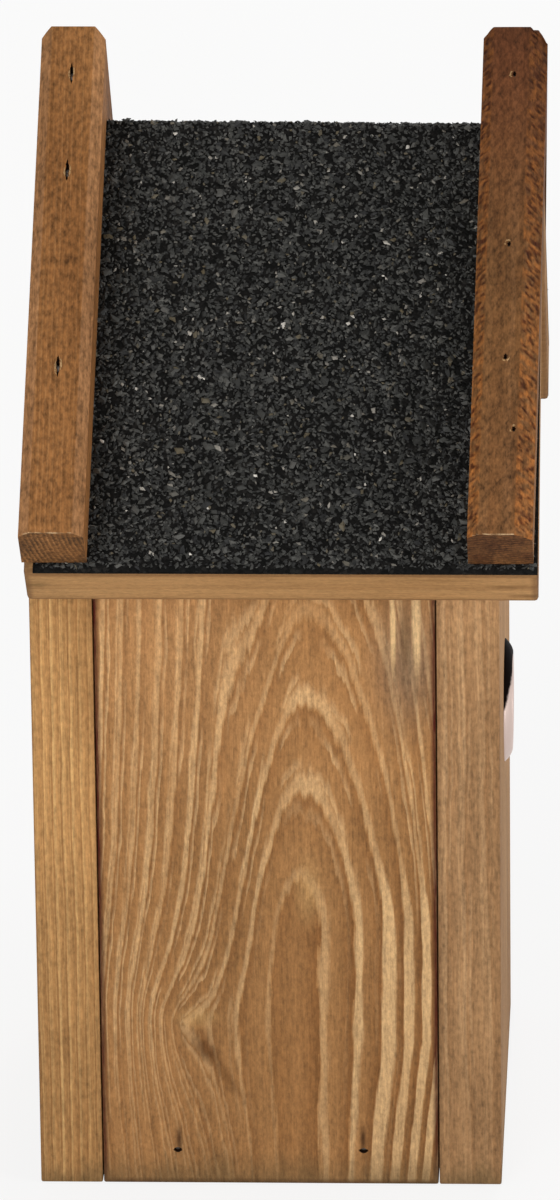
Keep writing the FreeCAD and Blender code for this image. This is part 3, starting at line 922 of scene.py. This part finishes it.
def makeGranules(name, side, seed):
    luck = random.Random(seed)
    points, faces = [], []
    for k in range(feltMake["granules"]):
        x = luck.uniform(feltBack + 1 * mm, feltHigh.x - 1 * mm)
        s = side * luck.uniform(0, feltReach - 1.2 * mm)
        long = luck.uniform(*feltMake["size"]) * luck.choices(*feltMake["larger"])[0] * mm
        wide = long * luck.uniform(0.45, 0.8)
        tall = wide * luck.uniform(0.4, 0.75)
        centre, normal = feltPoint(x, s, feltHeight(x, s) + tall * luck.uniform(-0.3, 0.25))
        turn = normal.to_track_quat("Z", "Y").to_matrix() @ Matrix.Rotation(luck.uniform(0, math.tau), 3, "Z")
        turn = turn @ Matrix.Rotation(luck.gauss(0, 0.3), 3, "X") @ Matrix.Rotation(luck.gauss(0, 0.25), 3, "Y")
        first = len(points)
        for u, v, w in chipCorners:
            jog = luck.uniform(0.75, 1.15)
            points.append(centre + turn @ Vector((u * long * jog, v * wide * jog, w * tall)))
        faces += [tuple(first + k for k in corners) for corners in chipFaces]
    mesh = bpy.data.meshes.new(name)
    mesh.from_pydata(points, [], faces)
    mesh.materials.append(slateChips)
    piece = bpy.data.objects.new(name, mesh)
    scene.collection.objects.link(piece)
    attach(piece, "box")


makeFelt()
makeGranules("feltGranulesNear", -1, feltMake["seed"] + 1)
makeGranules("feltGranulesFar", 1, feltMake["seed"] + 2)
print("felt laid")


# Battens over the felt's edges

backBattenLook = dict(
    pineLook, seed=31.0, pith=(2, 237), ringGap=(1.35, 1.35), archStart=900, wander=2.5, feather=0.7,
    lateWide=0.35, latePale=0.06, lateSpread=0.14, line=0.12, lineColour="#6a4021", between=0.0,
    fibre=0.6, nap=2.1, napSize=1.4, blot=0.6, bump=0.4, wood="#94653a", deep="#80532c", late="#b08456",
    edge=0.65, edgeColour="#b3865f", rim=1.3, rimColour="#d8ba90",
    endDark=0.9, endYears=0.6, endColour="#4d3520", lightRampFrom=(52, 233), lightRamp=(1.03, 1.0),
)
frontBattenLook = dict(
    backBattenLook, seed=37.0, pith=(150, -150), latePale=0.1, lateSpread=0.2,
    fibre=0.35, nap=2.1, napSize=1.1, saw=1.0, wood="#77522f", deep="#624126", late="#8a6240",
    edge=1.2, edgeColour="#a0622e", mark=1.6, markColour="#3a170a",
    # lightRamp: painted shade, the batten darkening towards the ridge
    endDark=0.95, endYears=0.45, endColour="#3c2211", lightRamp=(1.5, 0.52),
    spots=(dict(at=(68, 235), size=(45, 85), share=0.75, colour="#7d482c"),),        # redder at the ridge
)
# mm; chamfers as (width, depth) on the back and front sides, nail pits by length, splitWidth and depth,
# torn: half sizes of the ring of fibres pushed up round a nail
backBatten = dict(width=18.3, lean=0.8, chamfer=((2.8, 2.6), (3.0, 2.8)), chatter=0.0, tip=0.0,
                  length=7.2, splitWidth=1.5, depth=2.2, ragged=0.6, torn=(0.62, 2.7))
frontBatten = dict(width=18.3, lean=1.2, chamfer=((2.8, 2.4), (4.9, 3.6)), chatter=0.35, bite=2.3, tip=0.0,
                   length=2.0, splitWidth=1.35, depth=1.6, ragged=0.5, torn=(1.0, 1.0))
farFrontBatten = dict(frontBatten, chamfer=((3.0, 2.6), (2.5, 3.2)), tip=1.3)        # worn off at the ridge
battenMake = dict(ease=0.4, crown=0.12, dent=(14, 0.15), tipLength=7, rim=0.7, rows=420)        # mm
feltThick = 2 * mm


def toolMarks(along, across, bite, seed):
    # chamfers torn by blunt knives in slanting bites: how dark and how bare a place is, along and across in mm
    slanted = along + across * 0.5
    cells = ((4, 3, 0), (1.5, 1.5, 0), (0.7, 0.9, 3), (7, 4, 5), (1.8, 1.8, 9))
    sway, fleck, finer, patch, bare = (noise.noise(Vector((slanted / long, across / wide, seed + shift)))
                                       for long, wide, shift in cells)
    knife = math.cos(slanted / bite * math.tau + sway * 4)
    mark = (knife * 0.18 + (fleck + 0.5 * finer) * 1.5 + patch * 0.7) * 1.4
    return max(0.0, min(1.0, mark)), max(0.0, min(1.0, 0.55 + 1.4 * bare))


def battenMesh(low, high, side, make, seed):
    # a loft down the slope: the upper end is mitred at the ridge, the lower one cut square,
    # and the whole batten leans towards the front as it was nailed on
    peak = (high.z - ridge) * math.cos(pitch)        # height of the top face over the roof board
    (left, leftDeep), (right, rightDeep) = (tuple(c * mm for c in pair) for pair in make["chamfer"])
    lean = make["lean"] * mm
    x0 = high.x - lean * (1 + 2 * peak * math.tan(pitch) / slopeLength) - make["width"] * mm
    x1 = x0 + make["width"] * mm
    ease, crown, rim = (battenMake[k] * mm for k in ("ease", "crown", "rim"))
    dentSize, dentDeep = battenMake["dent"]

    def chamfer(edge, run, drop, steps):
        ts = [k / steps for k in range(steps + 1)]
        return [(edge + run * t, peak - drop * (1 - t) + crown * math.sin(t * math.pi), t) for t in ts]

    # the section, as (x, height, place across a chamfer or -1); the arrises are a little round
    section = [(x0, feltThick, -1), (x0, peak - leftDeep - ease, -1)]
    section += chamfer(x0, left, leftDeep, 8)
    section += [(x0 + left + ease, peak, -1)]
    section += [(x0 + left + (x1 - x0 - left - right) * k / 8, peak, -1) for k in range(1, 8)]
    section += [(x1 - right - ease, peak, -1)]
    section += chamfer(x1, -right, rightDeep, 10)[::-1]
    section += [(x1, peak - rightDeep - ease, -1), (x1, feltThick, -1)]
    # the square end, down the slope
    foot = (ridge - low.z) / math.sin(pitch) + feltThick / math.tan(pitch)
    steps = battenMake["rows"]
    luck = random.Random(seed)
    bm = bmesh.new()
    edgeLayer, markLayer, rimLayer = (bm.verts.layers.float.new(name) for name in ("edge", "mark", "rim"))
    rows = []
    for j in range(steps + 1):
        row = []
        for x, above, place in section:
            start = -above * math.tan(pitch)
            along = start + (foot - start) * j / steps
            uneven = noise.noise(Vector((x, along, above)) / mm / dentSize + Vector((seed, 0, 0)))
            dent = min(0, uneven * dentDeep * mm)
            mark, edge = 0.0, 0.0 if place < 0 else 1.0
            if make["chatter"] and place >= 0:
                across = place * (left if x < (x0 + x1) / 2 else right)
                mark, edge = toolMarks(along / mm, across / mm, make["bite"], seed)
                if place in (0, 1):        # less at the arrises
                    mark *= 0.5
                dent -= make["chatter"] * mm * mark
            dent -= make["tip"] * mm * max(0.0, 1 - (along - start) / (battenMake["tipLength"] * mm)) ** 2
            y = side * (along * math.cos(pitch) + (above + dent) * math.sin(pitch))
            z = ridge - along * math.sin(pitch) + (above + dent) * math.cos(pitch)
            v = bm.verts.new((x + lean * (1 - 2 * along / slopeLength), 0.0 if j == 0 else y, z))
            v[edgeLayer] = edge
            v[markLayer] = mark
            rubbed = j == steps and above > peak - 1 * mm and x < x1 - right
            v[rimLayer] = luck.choice((0, 0.3, 0.7, 1, 1)) if rubbed else 0.0
            row.append(v)
        rows.append(row)
    skin(bm, rows)
    bm.faces.new(rows[0][::-1])
    # the square end, inside a rubbed rim
    middle = sum((v.co for v in rows[-1]), Vector()) / len(section)
    inner = [bm.verts.new(v.co + (middle - v.co).normalized() * rim) for v in rows[-1]]
    skin(bm, [rows[-1], inner])
    bm.faces.new(inner)
    return bm


def tornRim(bm, head, inward, downhill, luck, wide, long):
    # slivers of pale fibre pushed up round a nail; wide and long are the half sizes of their ring in mm
    side = inward.cross(downhill).normalized()
    slivers = [(luck.uniform(0, math.tau), luck.uniform(0.5, 1.5)) for k in range(3)]
    if long > wide:        # along both sides of a long split
        slivers = [(face + luck.uniform(-0.5, 0.5), luck.uniform(1.0, 1.9)) for face in (0, math.pi)]
    base, root = head - inward * 0.55 * mm, inward * 0.3 * mm
    for middle, reach in slivers:
        size = luck.uniform(0.9, 1.15)
        rings = []
        for k in range(9):
            a = middle + reach * (k / 8 - 0.5)
            out = side * math.cos(a) - downhill * math.sin(a)
            thick = 0.6 * mm * math.sin(math.pi * (k + 0.5) / 9) * luck.uniform(0.5, 1.1)
            ringAt = side * math.cos(a) * wide - downhill * math.sin(a) * long
            centre = base + ringAt * size * luck.uniform(0.94, 1.06) * mm
            offsets = (root - out * thick * 0.4, -inward * 0.22 * mm, out * thick, root + out * thick * 0.6)
            rings.append([bm.verts.new(centre + offset) for offset in offsets])
        skin(bm, rings)
        bm.faces.new(rings[0][::-1])
        bm.faces.new(rings[-1])


for name, node, side, make, look in (("battenBackNear", "batten_back_near", -1, backBatten, backBattenLook),
                                     ("battenBackFar", "batten_back_far", 1, backBatten, backBattenLook),
                                     ("battenFrontNear", "batten_front_near", -1, frontBatten, frontBattenLook),
                                     ("battenFrontFar", "batten_front_far", 1, farFrontBatten, frontBattenLook)):
    low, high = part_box(node)
    seed = look["seed"] + side
    pith = (look["pith"][0], look["pith"][1] * side)
    wood = stainedPine("stained pine, " + name, dict(look, turn=(-pitch * side, 0, 0), seed=seed, pith=pith))
    bm = battenMesh(low, high, side, make, seed)
    piece = makePiece(name, bm, [wood, stainedAndShadedPitWood], "box", "stained_batten", node, smoothTo=28)
    downhill = Vector((0, side * math.cos(pitch), -math.sin(pitch)))
    spots = [s for s in nailSpots("batten_nails") if low.x < s[0].x < high.x and s[0].y * side > 0]
    cutPits(piece, spots, downhill, make)
    bm = bmesh.new()
    luck = random.Random(look["seed"])
    for head, axis, length in spots:
        tornRim(bm, head, axis, downhill, luck, *make["torn"])
    makePiece(name + "Fibres", bm, [rawFibre], "box", "stained_batten")
print("battens made")


# Metal: nails, entrance guard, turn button

makeNails("battenNails", "batten_nails")
makeNails("roofNails", "roof_nails")
makeNails("sideNails", "side_nails")
makeNails("floorNails", "floor_nails")
makeNails("pivotNails", "pivot_nails", pivotNailLook)

guardMake = dict(sleeve=12.95, wall=1.0, flange=18.0, dome=2.5,        # mm; radii of the sleeve and the flange
                 # bare: the pale metal of the lower lip, worn and painted as lit
                 scuff=2.5, plate="#0b0605", bare="#d2bdb4")


def makeGuard(make):
    inner, wall, flange, dome = (make[k] * mm for k in ("sleeve", "wall", "flange", "dome"))
    deep = guardLow.x - holeCentre.x
    profile = [(inner, deep), (inner, dome * 0.35)]
    for k in range(1, 7):        # the lip rolls outwards
        a = math.radians(15 * k)
        profile.append((inner + dome * 0.65 * (1 - math.cos(a)), dome * 0.35 + dome * 0.6 * math.sin(a)))
    lip, top = profile[-1]
    for k in range(1, 9):        # and falls to the flange's rim in a round sweep
        t = k / 8
        profile.append((lip + (flange - lip) * t, top * (1 - 0.35 * t - 0.55 * t * t)))
    profile += [(flange, 0.02 * mm), (inner + wall, 0.02 * mm), (inner + wall, deep), (inner, deep)]
    bm = bmesh.new()
    lathe(bm, profile, holeCentre, forward, 72)
    plating = blackPlateWornAndLitBelow(holeCentre.x / mm, holeCentre.z / mm, make)
    makePiece("holeGuard", bm, [plating], "box", "plated_metal", "hole_guard", smoothTo=50)


makeGuard(guardMake)

buttonMake = dict(width=12.0, ease=0.45, hole=2.05)        # mm, a stamped strip with round ends
washerMake = dict(hole=2.05, ease=0.2)        # mm
screwMake = dict(        # mm; root is a share of the shank
    shank=1.95, plain=6.0, thread=1.5, turns=9, root=0.72, point=1.2, slot=(12, 2, 0.9), slotTurn=35,
)
buttonLow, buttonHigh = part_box("turn_button")
screwLow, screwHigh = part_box("button_screw")
washerLow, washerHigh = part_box("button_washer")


def makeButton(make):
    half = make["width"] / 2 * mm
    middle = (buttonLow.x + buttonHigh.x) / 2
    outline = []
    for centre, first in ((buttonHigh.z - half, 0), (buttonLow.z + half, 180)):
        for k in range(13):
            a = math.radians(first + 15 * k)
            outline.append((middle + half * math.cos(a), centre + half * math.sin(a)))
    bm = bmesh.new()
    face = bm.faces.new([bm.verts.new((x, buttonLow.y, z)) for x, z in outline])
    extrude(bm, face, outward * (buttonHigh.y - buttonLow.y))
    rims = [e for e in bm.edges if e.calc_face_angle(0) > 1.0]
    bmesh.ops.bevel(bm, geom=rims, offset=make["ease"] * mm, segments=3, profile=0.5, affect="EDGES")
    piece = makePiece("turnButton", bm, [zincSteel], "button", "zinc_steel", "turn_button", smoothTo=40)
    bm = bmesh.new()
    pivot = Vector((middle, buttonLow.y, buttonHigh.z - half))
    r = make["hole"] * mm
    lathe(bm, [(0, -3 * mm), (r, -3 * mm), (r, 8 * mm), (0, 8 * mm)], pivot, outward, 32)
    cutAway(piece, bm)


def makeWasher(make):
    centre = (washerLow + washerHigh) / 2
    outer, half = (washerHigh.x - washerLow.x) / 2, (washerHigh.y - washerLow.y) / 2
    inner, soft = make["hole"] * mm, make["ease"] * mm
    profile = [(inner, -half), (outer - soft, -half), (outer, -half + soft), (outer, half - soft),
               (outer - soft, half), (inner + soft, half), (inner, half - soft), (inner, -half)]
    bm = bmesh.new()
    lathe(bm, profile, centre, outward, 40)
    makePiece("buttonWasher", bm, [zincSteel], "box", "zinc_steel", "button_washer", smoothTo=40)


def makeScrew(make):
    head = (screwHigh.x - screwLow.x) / 2
    centre = Vector(((screwLow.x + screwHigh.x) / 2, washerHigh.y, (screwLow.z + screwHigh.z) / 2))
    tall, length = screwHigh.y - washerHigh.y, washerHigh.y - screwLow.y
    shank, plain, thread = (make[k] * mm for k in ("shank", "plain", "thread"))
    root = shank * make["root"]
    profile = [(0, tall)]
    for k in range(1, 9):        # domed head
        a = math.radians(90 * k / 8)
        profile.append((head * math.sin(a), tall * (0.25 + 0.75 * math.cos(a))))
    profile += [(head, 0), (shank, 0), (shank, -plain)]
    for k in range(make["turns"]):        # thread, as rings
        at = -plain - k * thread
        profile += [(shank, at - thread / 3), (root, at - thread / 2),
                    (root, at - thread * 5 / 6), (shank, at - thread)]
    profile += [(shank * 0.6, -length + make["point"] * mm), (0, -length)]
    bm = bmesh.new()
    lathe(bm, profile, centre, outward, 32)
    piece = makePiece("buttonScrew", bm, [zincSteel], "box", "zinc_steel", "button_screw", smoothTo=40)
    bm = bmesh.new()
    slot = bmesh.ops.create_cube(bm, size=1.0)["verts"]
    turn = Matrix.Rotation(math.radians(make["slotTurn"]), 3, "Y")
    bmesh.ops.scale(bm, verts=slot, vec=[size * mm for size in make["slot"]])
    bmesh.ops.rotate(bm, verts=slot, cent=(0, 0, 0), matrix=turn)
    bmesh.ops.translate(bm, verts=slot, vec=centre + outward * tall)
    cutAway(piece, bm)


makeButton(buttonMake)
makeWasher(washerMake)
makeScrew(screwMake)
print("metal made")

scene.view_settings.view_transform = "Standard"
